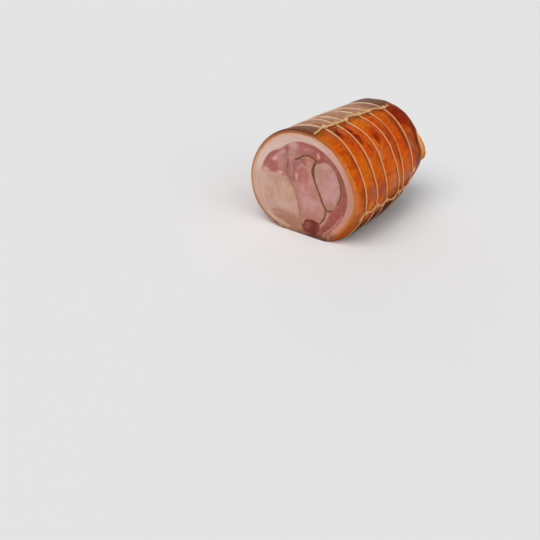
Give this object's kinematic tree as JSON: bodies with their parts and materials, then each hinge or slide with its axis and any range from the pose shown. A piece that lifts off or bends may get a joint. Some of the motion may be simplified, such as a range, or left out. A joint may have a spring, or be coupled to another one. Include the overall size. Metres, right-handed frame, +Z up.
{
  "type": "rolled pork roast",
  "caption": "Rolled and tied pork roast with browned rind, cut straight across at one end to show fat, lean muscles and seams of herb filling, under rings of kitchen twine.",
  "frame": {"origin": "middle of the box round the whole roast, on the surface that it rests on", "axes": "+Z up, +Y along the roast from the cut face (at -Y) to the rounded far end, +X to the right of someone looking at the cut face"},
  "size_m": [0.1646, 0.228, 0.1371],
  "materials": {
    "rind_and_fat": "roasted rind, orange to dark red brown, over pale pink fat at the cut",
    "loin_meat": "moist cooked meat, pale beige pink",
    "pink_meat": "moist cooked meat, pink",
    "pale_meat": "moist cooked meat, pale rose",
    "belly_meat": "moist cooked meat, dark pink",
    "dark_meat": "moist cooked meat, dark red brown",
    "marbled_meat": "moist cooked meat, dark pink with fat streaks",
    "herb_filling": "chopped herbs and garlic, olive brown",
    "twine": "three-ply cotton twine, cream, stained orange by the roast"
  },
  "bodies": {
    "root": {"rind_and_fat": "rind_and_fat", "loin": "loin_meat", "middle_muscle": "pink_meat", "oval_muscle": "pale_meat", "belly_band": "belly_meat", "bottom_muscle": "dark_meat", "corner_muscle": "marbled_meat", "top_muscle": "belly_meat", "herb_seam_center": "herb_filling", "herb_seam_right": "herb_filling", "herb_seam_left": "herb_filling", "twine": "twine"}
  },
  "joints": []
}
